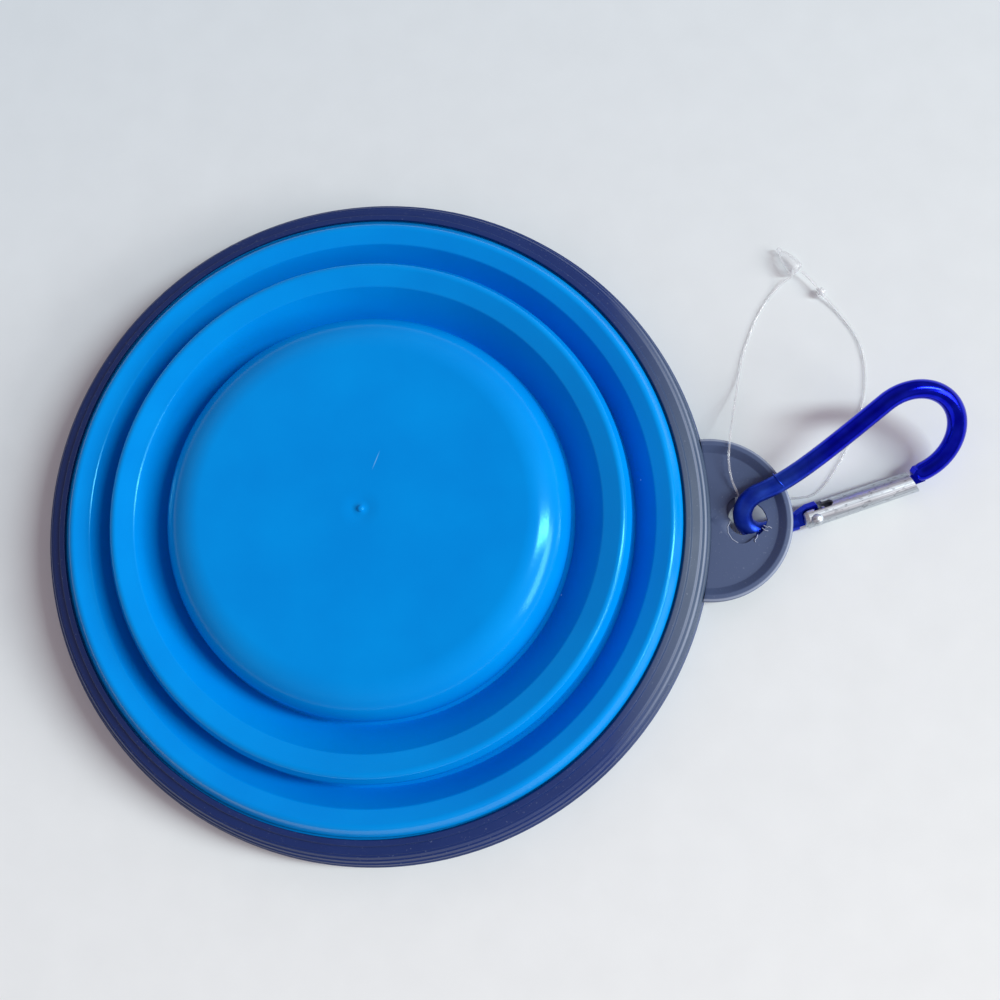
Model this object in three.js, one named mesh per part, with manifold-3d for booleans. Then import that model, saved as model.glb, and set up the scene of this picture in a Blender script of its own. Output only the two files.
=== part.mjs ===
// Collapsible pet bowl, folded flat and standing mouth down, with a hook and a tag loop on its ear.
// Millimetres, +Z up. The origin is on the bowl's axis, in the plane that the rim stands on,
// and +X points to the ear.

import * as THREE from 'three';
import { mergeVertices } from 'three/addons/utils/BufferGeometryUtils.js';
import Module from 'manifold-3d';

const wasm = await Module();
wasm.setup();

// Soft wall, from the base disc outwards. Radii follow from these widths.
const BASE_RADIUS = 38.9;
const BASE_EDGE_RADIUS = 8.2;
const BASE_THICKNESS = 2.0;
const BAND_WALL = 1.7;
const WEB_WALL = 1.1;
const VALLEY_WIDTH = 0.7;
const INNER_SLOPE_WIDTH = 5.1;
const INNER_SLOPE_DROP = 6.8;
const OUTER_SLOPE_WIDTH = 3.2;
const OUTER_SLOPE_DROP = 5.4;
const LEDGE_WIDTH = 3.3;
const LEDGE_DROP = 0.95;
const RIDGE_WIDTH = 2.5;
const RIDGE_CORNER_RADIUS = 1.4;
const RIDGE_LEAN = 20;
const FOOT_DEPTH = 1.6;
const COLLAR_RISE = 3.4;
const MIDDLE_RISE = 3.4;
const BASE_RISE = 3.5;

// Rim of two rings with the flange of the soft wall between them.
const RIM_HEIGHT = 11.2;
const RIM_GAP = 0.6;
const RIM_FACE_WIDTH = 2.7;
const RIM_FLARE = 2.0;
const RIM_LIP = 0.7;
const RIM_EDGE = 0.8;
const PARTING_HEIGHT = 5.4;
const FLANGE_WIDTH = 2.2;
const FLANGE_THICKNESS = 1.5;
const LINING_LIFT = 0.6;
const GROOVE_DEPTH = 0.3;
const CLEARANCE = 0.3;

// Ear on the rim.
const EAR_RADIUS = 16;
const EAR_CENTRE_INSET = 0.7;
const EAR_UNDERSIDE = 4.75;
const EAR_WEB = 0.85;
const EAR_BEAD_WIDTH = 2.5;
const EAR_BEAD_HEIGHT = 0.75;
const HEART_LOBE_RADIUS = 2.75;
const HEART_LOBE_OFFSET = 1.9;
const HEART_LOBE_FROM_CENTRE = 6.1;
const HEART_LENGTH = 7.85;
const HEART_BULGE = 1.3;

// Hook, in its own plane: u along the gate from its pivot, v towards the spine, n out of the plane.
const ROD_DIAMETER = 3.7;
const SMALL_LOOP_RADIUS = 4.5;
const NECK_LENGTH = 9.1;
const BIG_LOOP_RADIUS = 9.2;
const BIG_LOOP_U = 21.4;
const BIG_LOOP_V = 10.7;
const SPINE_ANGLE = 25.5;
const LEG_ANGLE = 4;
const LEG_LENGTH = 6;
const SPINE_LENGTH = 17;
const NOSE_ANGLE = -88;
const NOSE_TOP = 2.2;
const NOSE_BOTTOM = -0.3;
const TONGUE_THICKNESS = 1.4;
const TONGUE_HEIGHT = 2.4;
const TONGUE_REACH = 1.2;
const HEEL_HEIGHT = 2.6;
const HEEL_REACH = 0.9;
const SHOULDER = 3.5;
const HOOK_LEAN = 40;
const HOOK_TURN = 18.6;
const HOOK_HEIGHT = 2.5;
const HOOK_CROSSING_HEIGHT = 5.325;
const HOOK_CROSSING_SHIFT = [0.4, 0.2];

// Gate of the hook, with its rivet, plunger and spring.
const GATE_TIP_DIAMETER = 4.3;
const GATE_PIVOT_DIAMETER = 4.6;
const GATE_TAIL = 2.2;
const GATE_LENGTH = 20.8;
const GATE_TIP_SLANT = 0.6;
const GATE_CHEEK_FLAT = 3.6;
const TIP_SLOT_DEPTH = 1.7;
const TIP_SLOT_ROOF = 1.2;
const WINDOW_END = 4.4;
const RIVET_DIAMETER = 1.5;
const RIVET_HEAD_DIAMETER = 2.5;
const RIVET_HEAD_HEIGHT = 0.5;
const PLUNGER_HEAD_DIAMETER = 1.8;
const PLUNGER_HEAD_LENGTH = 1.5;
const PLUNGER_SHANK_DIAMETER = 0.7;
const PLUNGER_LENGTH = 6.5;
const PLUNGER_OFFSET = 0.4;
const SPRING_WIRE = 0.3;
const SPRING_DIAMETER = 1.9;
const SPRING_TURNS = 9;
const SPRING_PITCH = 0.9;

// Tag loop: a nylon thread, laid by hand, closed by a bullet-shaped lock.
const THREAD_DIAMETER = 0.45;
const LOCK_LENGTH = 6.3;
const LOCK_BASE_DIAMETER = 3.2;
const LOCK_TIP_DIAMETER = 1.5;
const LOCK_PLACE = [84.6, 51.9];
const LOCK_LIFT = 0.15;
const LOCK_AXIS = [-0.57, 0.81, -0.12];
const BALL_DIAMETER = 2.0;
const BALL_LENGTH = 2.0;

// Facets.
const RING_SIDES = 64;
const ROD_SIDES = 10;
const ROD_STEPS = 84;
const SMALL_SIDES = 16;

// Finishes.
const finish = (color, roughness, metalness) =>
  new THREE.MeshStandardMaterial({ color, roughness, metalness });
const blueRubber = finish('#0089da', 0.38, 0);
const greyPlastic = finish('#525f7c', 0.5, 0);
const blueAnodised = finish('#1420b4', 0.25, 1);
const bareAluminium = finish('#c9cacf', 0.35, 1);
const springSteel = finish('#9a9ca0', 0.3, 1);
const clearNylon = finish('#e8eef4', 0.2, 0);

// Turns every face of a closed shape outwards and merges its shared corners.
function closed(geometry) {
  geometry.deleteAttribute('normal');
  geometry.deleteAttribute('uv');
  const merged = mergeVertices(geometry, 1e-4);
  const p = merged.getAttribute('position');
  const index = Array.from(merged.index.array);
  const kept = [];
  let volume = 0;
  const a = new THREE.Vector3();
  const b = new THREE.Vector3();
  const c = new THREE.Vector3();
  for (let i = 0; i < index.length; i += 3) {
    const [j, k, l] = index.slice(i, i + 3);
    if (j === k || k === l || l === j) continue;
    kept.push(j, k, l);
    a.fromBufferAttribute(p, j);
    b.fromBufferAttribute(p, k);
    c.fromBufferAttribute(p, l);
    volume += a.dot(b.cross(c));
  }
  if (volume < 0) kept.reverse();
  merged.setIndex(kept);
  return merged;
}

const rad = THREE.MathUtils.degToRad;

function toSolid(geometry) {
  const g = closed(geometry);
  return new wasm.Manifold(new wasm.Mesh({
    numProp: 3,
    vertProperties: new Float32Array(g.getAttribute('position').array),
    triVerts: new Uint32Array(g.index.array),
  }));
}

function toGeometry(solid) {
  const mesh = solid.getMesh();
  const geometry = new THREE.BufferGeometry();
  geometry.setAttribute('position', new THREE.BufferAttribute(mesh.vertProperties, 3));
  geometry.setIndex(new THREE.BufferAttribute(mesh.triVerts, 1));
  return geometry;
}

function piece(name, geometry, material) {
  const mesh = new THREE.Mesh(geometry, material);
  mesh.name = name;
  return mesh;
}

// A shape turned about Z from an outline of [radius, height] pairs; a ring's outline closes on itself.
function turned(outline, sides = RING_SIDES) {
  const points = outline.map(([r, z]) => new THREE.Vector2(r, z));
  if (points[0].x > 0) points.push(points[0].clone());
  return new THREE.LatheGeometry(points, sides).rotateX(Math.PI / 2);
}

// Points of an arc about a centre, from one angle to another in degrees.
function arc([r, z], radius, from, to, steps) {
  return Array.from({ length: steps + 1 }, (_, i) => {
    const angle = rad(from + ((to - from) * i) / steps);
    return [r + radius * Math.cos(angle), z + radius * Math.sin(angle)];
  });
}

// A box between two corners.
function block(low, high) {
  const size = low.map((v, i) => high[i] - v);
  const middle = low.map((v, i) => (v + high[i]) / 2);
  return new THREE.BoxGeometry(...size).translate(...middle);
}

// A round bar from one point to another along X.
function bar(diameter, from, to, y = 0, sides = SMALL_SIDES) {
  return new THREE.CylinderGeometry(diameter / 2, diameter / 2, to - from, sides)
    .rotateZ(Math.PI / 2)
    .translate((from + to) / 2, y, 0);
}

// A tube of one section along a curve.
function tube(curve, diameter, steps, sides) {
  const section = new THREE.Shape();
  for (let i = 0; i < sides; i += 1) {
    const angle = (2 * Math.PI * i) / sides;
    const x = (diameter / 2) * Math.cos(angle);
    const y = (diameter / 2) * Math.sin(angle);
    if (i === 0) section.moveTo(x, y);
    else section.lineTo(x, y);
  }
  return closed(new THREE.ExtrudeGeometry(section, { steps, extrudePath: curve }));
}

// A flat path drawn in X and Y, as a curve in space.
class FlatCurve extends THREE.Curve {
  constructor(path) {
    super();
    this.path = path;
  }

  getPoint(t) {
    const p = this.path.getPoint(t);
    return new THREE.Vector3(p.x, p.y, 0);
  }
}

class Coil extends THREE.Curve {
  getPoint(t) {
    const angle = 2 * Math.PI * SPRING_TURNS * t;
    const radius = (SPRING_DIAMETER - SPRING_WIRE) / 2;
    return new THREE.Vector3(
      SPRING_TURNS * SPRING_PITCH * t,
      radius * Math.cos(angle),
      radius * Math.sin(angle),
    );
  }
}

// Heights of the ridges, from the rim's face up.
const collarTop = RIM_HEIGHT + COLLAR_RISE;
const middleTop = collarTop + MIDDLE_RISE;
const baseTop = middleTop + BASE_RISE;

// A thin web that hangs from the inside of a ridge: a ledge and a steep slope down to a valley.
function foldWeb(valleyRadius, slopeWidth, slopeDrop, top) {
  const crease = valleyRadius + slopeWidth;
  const ledge = crease + LEDGE_WIDTH - CLEARANCE;
  const creaseTop = top - LEDGE_DROP;
  const slope = Math.hypot(slopeWidth, slopeDrop);
  const out = (WEB_WALL * slopeDrop) / slope;
  const down = (WEB_WALL * slopeWidth) / slope;
  return closed(turned([
    [valleyRadius, creaseTop - slopeDrop],
    [crease, creaseTop],
    [ledge, top],
    [ledge, top - WEB_WALL],
    [crease + out / 2, creaseTop - WEB_WALL],
    [valleyRadius + out, creaseTop - slopeDrop - down],
  ]));
}

// The foot of a band, which the web beside it folds round.
function foot(wallRadius, valleyRadius, valleyTop) {
  const floor = valleyTop - CLEARANCE;
  return [
    [wallRadius, valleyTop + FOOT_DEPTH],
    [valleyRadius - CLEARANCE, floor],
    [valleyRadius + WEB_WALL / 2, floor - WEB_WALL],
    [valleyRadius, floor - FOOT_DEPTH],
    [wallRadius - BAND_WALL / 2, floor - FOOT_DEPTH],
    [wallRadius - BAND_WALL, floor - FOOT_DEPTH / 2],
  ];
}

// Outer side of a ridge: a rounded corner, then a side that leans out to the wall.
function ridgeSide(ridge, top) {
  const corner = arc([ridge, top - RIDGE_CORNER_RADIUS], RIDGE_CORNER_RADIUS, 90, RIDGE_LEAN, 4);
  const [radius, height] = corner[corner.length - 1];
  const wall = ridge + RIDGE_WIDTH;
  return [...corner, [wall, height - (wall - radius) / Math.tan(rad(RIDGE_LEAN))]];
}

// Base disc with its rounded edge and short wall.
const innerValley = BASE_RADIUS + VALLEY_WIDTH;
const innerValleyTop = middleTop - LEDGE_DROP - INNER_SLOPE_DROP;
function baseCup() {
  const edgeCentre = [BASE_RADIUS - BASE_EDGE_RADIUS, baseTop - BASE_EDGE_RADIUS];
  const insideTop = baseTop - BASE_THICKNESS;
  const insideRadius = BASE_EDGE_RADIUS - BASE_THICKNESS;
  return closed(turned([
    [0, baseTop],
    ...arc(edgeCentre, BASE_EDGE_RADIUS, 90, 0, 6),
    ...foot(BASE_RADIUS, innerValley, innerValleyTop),
    ...arc([edgeCentre[0], insideTop - insideRadius], insideRadius, 0, 90, 4),
    [0, insideTop],
  ]));
}

// Ridge between the two folds.
const middleCrease = innerValley + INNER_SLOPE_WIDTH;
const middleRidge = middleCrease + LEDGE_WIDTH;
const middleRadius = middleRidge + RIDGE_WIDTH;
const outerValley = middleRadius + VALLEY_WIDTH;
const outerValleyTop = collarTop - LEDGE_DROP - OUTER_SLOPE_DROP;
function middleBand() {
  return closed(turned([
    [middleRidge, middleTop - WEB_WALL],
    ...ridgeSide(middleRidge, middleTop),
    ...foot(middleRadius, outerValley, outerValleyTop),
    [middleRadius - BAND_WALL, middleTop - 2 * WEB_WALL],
  ]));
}

// Collar that lines the rim, with the flange that the rim holds.
const collarRidge = outerValley + OUTER_SLOPE_WIDTH + LEDGE_WIDTH;
const collarRadius = collarRidge + RIDGE_WIDTH;
const flangeRadius = collarRadius + FLANGE_WIDTH;
const flangeBottom = PARTING_HEIGHT - FLANGE_THICKNESS;
function outerCollar() {
  const inside = collarRadius - BAND_WALL;
  return closed(turned([
    [collarRidge, collarTop - WEB_WALL],
    ...ridgeSide(collarRidge, collarTop),
    [collarRadius, PARTING_HEIGHT],
    [flangeRadius, PARTING_HEIGHT],
    [flangeRadius, flangeBottom],
    [collarRadius, flangeBottom],
    [collarRadius, 2 * LINING_LIFT],
    [collarRadius - LINING_LIFT, LINING_LIFT],
    [inside, 2 * LINING_LIFT],
    [inside, collarTop - 2 * WEB_WALL],
  ]));
}

// Upper ring: the flat face, the rounded edge and the flared side with its fine groove.
const rimInner = collarRadius + RIM_GAP;
const faceOuter = rimInner + RIM_FACE_WIDTH;
const flareRadius = faceOuter + RIM_FLARE;
const rimRadius = flareRadius + RIM_LIP;
const clampBottom = PARTING_HEIGHT + CLEARANCE;
function clampRing() {
  const edge = [faceOuter - RIM_EDGE / 2, RIM_HEIGHT - RIM_EDGE];
  const grooveHeight = (clampBottom + RIM_HEIGHT) / 2;
  const grooveRadius = (faceOuter + flareRadius) / 2;
  return closed(turned([
    [rimInner, clampBottom],
    [rimInner, RIM_HEIGHT - CLEARANCE],
    [rimInner + CLEARANCE, RIM_HEIGHT],
    ...arc(edge, RIM_EDGE, 90, 20, 3),
    [grooveRadius, grooveHeight + GROOVE_DEPTH],
    [grooveRadius - GROOVE_DEPTH, grooveHeight],
    [grooveRadius + GROOVE_DEPTH / 2, grooveHeight - GROOVE_DEPTH],
    [flareRadius, clampBottom + RIM_EDGE / 2],
    [flareRadius - RIM_EDGE / 2, clampBottom],
  ]));
}

// Outline of the heart-shaped hole, point outwards.
const earCentre = rimRadius - EAR_CENTRE_INSET;
const heartX = earCentre + HEART_LOBE_FROM_CENTRE;
function heart() {
  const cusp = Math.sqrt(HEART_LOBE_RADIUS ** 2 - HEART_LOBE_OFFSET ** 2);
  const tip = heartX - HEART_LOBE_RADIUS + HEART_LENGTH;
  const toTip = Math.atan2(-HEART_LOBE_OFFSET, tip - heartX);
  const far = Math.hypot(HEART_LOBE_OFFSET, tip - heartX);
  const tangent = toTip + Math.acos(HEART_LOBE_RADIUS / far);
  const start = Math.atan2(-HEART_LOBE_OFFSET, -cusp);
  const side = {
    x: (heartX + HEART_LOBE_RADIUS * Math.cos(tangent) + tip) / 2 + HEART_BULGE * Math.cos(tangent),
    y: (HEART_LOBE_OFFSET + HEART_LOBE_RADIUS * Math.sin(tangent)) / 2 + HEART_BULGE * Math.sin(tangent),
  };
  const shape = new THREE.Shape();
  shape.moveTo(heartX - cusp, 0);
  shape.absarc(heartX, HEART_LOBE_OFFSET, HEART_LOBE_RADIUS, start, tangent, true);
  shape.quadraticCurveTo(side.x, side.y, tip, 0);
  shape.quadraticCurveTo(
    side.x,
    -side.y,
    heartX + HEART_LOBE_RADIUS * Math.cos(tangent),
    -HEART_LOBE_OFFSET - HEART_LOBE_RADIUS * Math.sin(tangent),
  );
  shape.absarc(heartX, -HEART_LOBE_OFFSET, HEART_LOBE_RADIUS, -tangent, -start, true);
  return shape;
}

// Lower ring with the ear: a beaded disc, cut by the heart and kept clear of the upper ring.
function rimFrame() {
  const channel = flangeRadius + CLEARANCE;
  const shelf = flangeBottom - CLEARANCE;
  const ring = toSolid(turned([
    [rimInner, RIM_EDGE],
    [rimInner, shelf],
    [channel, shelf],
    [channel, PARTING_HEIGHT],
    [rimRadius - RIM_EDGE / 2, PARTING_HEIGHT],
    [rimRadius, PARTING_HEIGHT - RIM_EDGE / 2],
    [rimRadius, RIM_EDGE],
    [rimRadius - RIM_EDGE, 0],
    [rimInner + RIM_EDGE, 0],
  ]));
  const webTop = EAR_UNDERSIDE + EAR_WEB;
  const beadTop = webTop + EAR_BEAD_HEIGHT;
  const bead = EAR_RADIUS - EAR_BEAD_WIDTH;
  const ear = toSolid(turned([
    [0, EAR_UNDERSIDE],
    [EAR_RADIUS - RIM_EDGE / 2, EAR_UNDERSIDE],
    [EAR_RADIUS, EAR_UNDERSIDE + RIM_EDGE / 2],
    [EAR_RADIUS, webTop - RIM_EDGE / 2],
    [EAR_RADIUS - RIM_EDGE, beadTop],
    [bead + RIM_EDGE / 2, beadTop],
    [bead, webTop],
    [0, webTop],
  ], 48).translate(earCentre, 0, 0));
  const inside = toSolid(turned([
    [0, 0],
    [channel + CLEARANCE, 0],
    [channel + CLEARANCE, PARTING_HEIGHT],
    [flareRadius + CLEARANCE, PARTING_HEIGHT],
    [flareRadius + CLEARANCE, RIM_HEIGHT],
    [0, RIM_HEIGHT],
  ]));
  const hole = toSolid(new THREE.ExtrudeGeometry(heart(), {
    depth: RIM_HEIGHT,
    bevelEnabled: false,
    curveSegments: 12,
  }));
  return toGeometry(ring.add(ear.subtract(inside)).subtract(hole));
}

// Centre line of the hook's rod, from the nose round the big loop, down the spine and round the small one.
const smallLoopU = -NECK_LENGTH;
function rodPath() {
  const path = new THREE.Path();
  const spineNormal = rad(SPINE_ANGLE + 90);
  const legNormal = rad(LEG_ANGLE + 90);
  const spineEnd = [
    BIG_LOOP_U + BIG_LOOP_RADIUS * Math.cos(spineNormal),
    BIG_LOOP_V + BIG_LOOP_RADIUS * Math.sin(spineNormal),
  ];
  const legStart = [
    smallLoopU + SMALL_LOOP_RADIUS * Math.cos(legNormal),
    SMALL_LOOP_RADIUS + SMALL_LOOP_RADIUS * Math.sin(legNormal),
  ];
  path.absarc(BIG_LOOP_U, BIG_LOOP_V, BIG_LOOP_RADIUS, rad(NOSE_ANGLE), spineNormal, false);
  path.bezierCurveTo(
    spineEnd[0] - SPINE_LENGTH * Math.cos(rad(SPINE_ANGLE)),
    spineEnd[1] - SPINE_LENGTH * Math.sin(rad(SPINE_ANGLE)),
    legStart[0] + LEG_LENGTH * Math.cos(rad(LEG_ANGLE)),
    legStart[1] + LEG_LENGTH * Math.sin(rad(LEG_ANGLE)),
    ...legStart,
  );
  path.absarc(smallLoopU, SMALL_LOOP_RADIUS, SMALL_LOOP_RADIUS, legNormal, rad(270), false);
  path.lineTo(-SHOULDER, 0);
  return path;
}

// A flat tongue in the hook's plane, from its outline.
function tongue(outline) {
  const shape = new THREE.Shape(outline.map(([u, v]) => new THREE.Vector2(u, v)));
  return toSolid(new THREE.ExtrudeGeometry(shape, { depth: TONGUE_THICKNESS, bevelEnabled: false })
    .translate(0, 0, -TONGUE_THICKNESS / 2));
}

const tipCut = GATE_LENGTH - GATE_TIP_SLANT / 2;
const slotHalf = TONGUE_THICKNESS / 2 + CLEARANCE;
function carabinerHook() {
  const noseEnd = BIG_LOOP_U + BIG_LOOP_RADIUS * Math.cos(rad(NOSE_ANGLE));
  const tipTongue = tipCut - TIP_SLOT_DEPTH + 2 * CLEARANCE;
  const tipReach = Math.hypot(GATE_LENGTH + GATE_TIP_SLANT / 2, GATE_TIP_DIAMETER / 2) + CLEARANCE / 2;
  const underRoof = TIP_SLOT_ROOF - CLEARANCE;
  const half = TONGUE_HEIGHT / 2;
  const pivotHole = toSolid(new THREE.CylinderGeometry(
    RIVET_DIAMETER / 2 + CLEARANCE, RIVET_DIAMETER / 2 + CLEARANCE, ROD_DIAMETER, SMALL_SIDES,
  ).rotateX(Math.PI / 2));
  const hook = toSolid(tube(new FlatCurve(rodPath()), ROD_DIAMETER, ROD_STEPS, ROD_SIDES))
    .add(tongue([
      [-SHOULDER - ROD_DIAMETER / 2, -half],
      ...arc([0, 0], TONGUE_REACH, -90, 20, 5),
      [HEEL_REACH, HEEL_HEIGHT],
      [-TONGUE_REACH, HEEL_HEIGHT],
      [-SHOULDER, ROD_DIAMETER / 2 - CLEARANCE / 2],
      [-SHOULDER - ROD_DIAMETER / 2, half],
    ]))
    .add(tongue([
      [tipTongue, NOSE_BOTTOM],
      [noseEnd + ROD_DIAMETER / 2, NOSE_BOTTOM],
      [noseEnd + ROD_DIAMETER / 2, NOSE_TOP],
      [tipReach, NOSE_TOP],
      [tipReach, underRoof],
      [tipTongue, underRoof],
    ]));
  return toGeometry(hook.subtract(pivotHole));
}

// Gate: a tapered bar, forked round both tongues, flat at its cheeks, bored for the spring.
const springStart = TONGUE_REACH + CLEARANCE + PLUNGER_HEAD_LENGTH + CLEARANCE;
const springEnd = springStart + SPRING_TURNS * SPRING_PITCH + SPRING_WIRE;
function carabinerGate() {
  const tip = GATE_TIP_DIAMETER / 2;
  const pivot = GATE_PIVOT_DIAMETER / 2;
  const wide = GATE_PIVOT_DIAMETER;
  const gate = toSolid(turned([
    [0, -GATE_TAIL],
    [pivot - RIM_EDGE, -GATE_TAIL],
    [pivot, -GATE_TAIL + RIM_EDGE],
    [tip, GATE_LENGTH + GATE_TIP_SLANT],
    [0, GATE_LENGTH + GATE_TIP_SLANT],
  ], SMALL_SIDES).rotateY(Math.PI / 2));
  const forkEnd = TONGUE_REACH + 2 * CLEARANCE;
  const bore = SPRING_DIAMETER + 2 * CLEARANCE;
  const slant = Math.atan2(GATE_TIP_SLANT, GATE_TIP_DIAMETER);
  const cheek = GATE_CHEEK_FLAT / 2;
  const cuts = [
    block([-wide, -wide, -slotHalf], [forkEnd, wide, slotHalf]),
    block([0, -wide / 4, -slotHalf], [WINDOW_END, wide, slotHalf]),
    block([tipCut - TIP_SLOT_DEPTH, -wide, -slotHalf], [GATE_LENGTH * 2, TIP_SLOT_ROOF, slotHalf]),
    block([0, -wide, -wide], [GATE_LENGTH, wide, wide]).rotateZ(slant).translate(GATE_LENGTH, 0, 0),
    block([-wide, -wide, cheek], [RIVET_HEAD_DIAMETER, wide, wide]),
    block([-wide, -wide, -wide], [RIVET_HEAD_DIAMETER, wide, -cheek]),
    bar(bore, TONGUE_REACH, springEnd + CLEARANCE, PLUNGER_OFFSET, 12),
    new THREE.CylinderGeometry(
      RIVET_DIAMETER / 2 + CLEARANCE, RIVET_DIAMETER / 2 + CLEARANCE, wide, SMALL_SIDES,
    ).rotateX(Math.PI / 2),
  ];
  return toGeometry(cuts.reduce((left, cut) => left.subtract(toSolid(cut)), gate));
}

// Rivet across the gate, with a domed head on each cheek.
function gateRivet() {
  const shank = RIVET_DIAMETER / 2;
  const head = RIVET_HEAD_DIAMETER / 2;
  const seat = GATE_CHEEK_FLAT / 2 + CLEARANCE / 2;
  const top = seat + RIVET_HEAD_HEIGHT;
  const dome = [[head, seat], [head * 0.8, seat + RIVET_HEAD_HEIGHT * 0.7], [0, top]];
  const mirrored = dome.map(([r, z]) => [r, -z]).reverse();
  return closed(turned([...mirrored, [shank, -seat], [shank, seat], ...dome], SMALL_SIDES));
}

// Push pin whose head bears on the tongue and whose shank guides the spring.
function gatePlunger() {
  const from = TONGUE_REACH + CLEARANCE;
  const head = PLUNGER_HEAD_DIAMETER / 2;
  const shank = PLUNGER_SHANK_DIAMETER / 2;
  return closed(turned([
    [0, from],
    [head * 0.7, from + head * 0.3],
    [head, from + head],
    [head, from + PLUNGER_HEAD_LENGTH],
    [shank, from + PLUNGER_HEAD_LENGTH],
    [shank, from + PLUNGER_LENGTH],
    [0, from + PLUNGER_LENGTH],
  ], 12).rotateY(Math.PI / 2).translate(0, PLUNGER_OFFSET, 0));
}

// Coil spring round the shank; its least gap to itself is measured on points of the wire's middle.
function gateSpring() {
  const coil = new Coil();
  const perTurn = 24;
  const points = coil.getPoints(SPRING_TURNS * perTurn);
  let least = Infinity;
  points.forEach((p, i) => {
    points.slice(i + perTurn / 2).forEach((q) => {
      least = Math.min(least, p.distanceTo(q) - SPRING_WIRE);
    });
  });
  console.log(`spring: least gap to itself ${least.toFixed(2)} mm`);
  return tube(coil, SPRING_WIRE, SPRING_TURNS * 8, 5)
    .translate(springStart + SPRING_WIRE / 2, PLUNGER_OFFSET, 0);
}

// Route of the tag's thread: from the lock along the table, over the ear, down through its hole,
// out under the ear and back along the table to the lock.
const THREAD_POINTS = [
  [83.6, 50.75, 1.5],
  [81.8, 49.5, 0.85],
  [80.4, 48.2, 0.42],
  [79.2, 46.8, 0.28],
  [77.4, 44.1, 0.28],
  [75.3, 39.5, 0.28],
  [73.5, 34.4, 0.28],
  [72.8, 31.2, 0.4],
  [72.1, 27.6, 1.1],
  [70.8, 21.4, 4.2],
  [69.7, 15.6, 6.95],
  [69.4, 11.0, 7.0],
  [70.0, 7.4, 6.6],
  [70.8, 5.5, 6.35],
  [71.2, 4.5, 6.1],
  [71.4, 3.9, 5.3],
  [71.5, 3.75, 4.2],
  [71.9, 3.9, 2.7],
  [73.0, 4.3, 1.3],
  [74.6, 4.65, 0.5],
  [76.8, 4.85, 0.28],
  [80.0, 5.1, 0.28],
  [84.0, 5.2, 0.28],
  [86.6, 5.8, 0.28],
  [88.6, 7.5, 0.28],
  [90.8, 10.5, 0.28],
  [93.3, 14.9, 0.28],
  [95.5, 20.1, 0.28],
  [97.1, 25.0, 0.28],
  [97.7, 30.0, 0.28],
  [97.5, 34.1, 0.28],
  [96.3, 38.1, 0.28],
  [94.3, 41.4, 0.28],
  [91.6, 44.9, 0.5],
  [89.4, 47.4, 1.1],
  [87.4, 50.0, 1.4],
  [85.65, 51.75, 1.55],
].map((p) => new THREE.Vector3(...p));
const ballIndex = THREAD_POINTS.length - 3;

function tagLoop() {
  const route = new THREE.CatmullRomCurve3(THREAD_POINTS, false, 'centripetal');
  console.log(`tag loop: thread ${route.getLength().toFixed(1)} mm`);
  return tube(route, THREAD_DIAMETER, 80, 8);
}

// Lock head lying on the table beyond the thread's two ends.
function tagLock() {
  const base = LOCK_BASE_DIAMETER / 2;
  const tip = LOCK_TIP_DIAMETER / 2;
  const neck = tip * 0.6;
  return closed(turned([
    [0, 0],
    [base * 0.9, 0],
    [base, LOCK_LENGTH * 0.12],
    [base * 0.92, LOCK_LENGTH * 0.4],
    [tip * 1.3, LOCK_LENGTH * 0.75],
    [neck, LOCK_LENGTH * 0.8],
    [tip, LOCK_LENGTH * 0.88],
    [neck, LOCK_LENGTH],
    [0, LOCK_LENGTH],
  ], 12).rotateY(Math.PI / 2));
}

// Ball on the thread: a barrel with a bore for it.
function tagBall() {
  const bore = THREAD_DIAMETER / 2 + CLEARANCE;
  const half = BALL_LENGTH / 2;
  const outer = BALL_DIAMETER / 2;
  return closed(turned([
    [bore, -half],
    [bore, half],
    [outer * 0.85, half * 0.7],
    [outer, 0],
    [outer * 0.85, -half * 0.7],
  ], 12).rotateY(Math.PI / 2));
}

// Places a piece so that its own X axis points along a direction.
function aim(mesh, position, direction) {
  mesh.position.copy(position);
  mesh.quaternion.setFromUnitVectors(new THREE.Vector3(1, 0, 0), direction.clone().normalize());
  return mesh;
}

const bowl = new THREE.Group();
bowl.add(
  piece('rim_frame', rimFrame(), greyPlastic),
  piece('clamp_ring', clampRing(), greyPlastic),
  piece('outer_collar', outerCollar(), blueRubber),
  piece('outer_fold', foldWeb(outerValley, OUTER_SLOPE_WIDTH, OUTER_SLOPE_DROP, collarTop), blueRubber),
  piece('middle_band', middleBand(), blueRubber),
  piece('inner_fold', foldWeb(innerValley, INNER_SLOPE_WIDTH, INNER_SLOPE_DROP, middleTop), blueRubber),
  piece('base_cup', baseCup(), blueRubber),
);

// The hook lies with its gate on the table and leans over the ear: it is placed so that the small
// loop passes through the heart between its lobes.
const hookLean = new THREE.Group();
hookLean.rotation.x = rad(HOOK_LEAN);
hookLean.add(
  piece('carabiner_hook', carabinerHook(), blueAnodised),
  piece('carabiner_gate', carabinerGate(), bareAluminium),
  piece('gate_rivet', gateRivet(), bareAluminium),
  piece('gate_plunger', gatePlunger(), springSteel),
  piece('gate_spring', gateSpring(), springSteel),
);
const hook = new THREE.Group();
hook.add(hookLean);
hook.rotation.z = rad(HOOK_TURN);
const crossing = new THREE.Vector3(
  smallLoopU - SMALL_LOOP_RADIUS,
  (HOOK_CROSSING_HEIGHT - HOOK_HEIGHT) / Math.sin(rad(HOOK_LEAN)),
  0,
).applyEuler(new THREE.Euler(rad(HOOK_LEAN), 0, 0)).applyEuler(new THREE.Euler(0, 0, rad(HOOK_TURN)));
const swingAxis = [heartX + HOOK_CROSSING_SHIFT[0], HOOK_CROSSING_SHIFT[1]];
hook.position.set(swingAxis[0] - crossing.x, swingAxis[1] - crossing.y, HOOK_HEIGHT);
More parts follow.
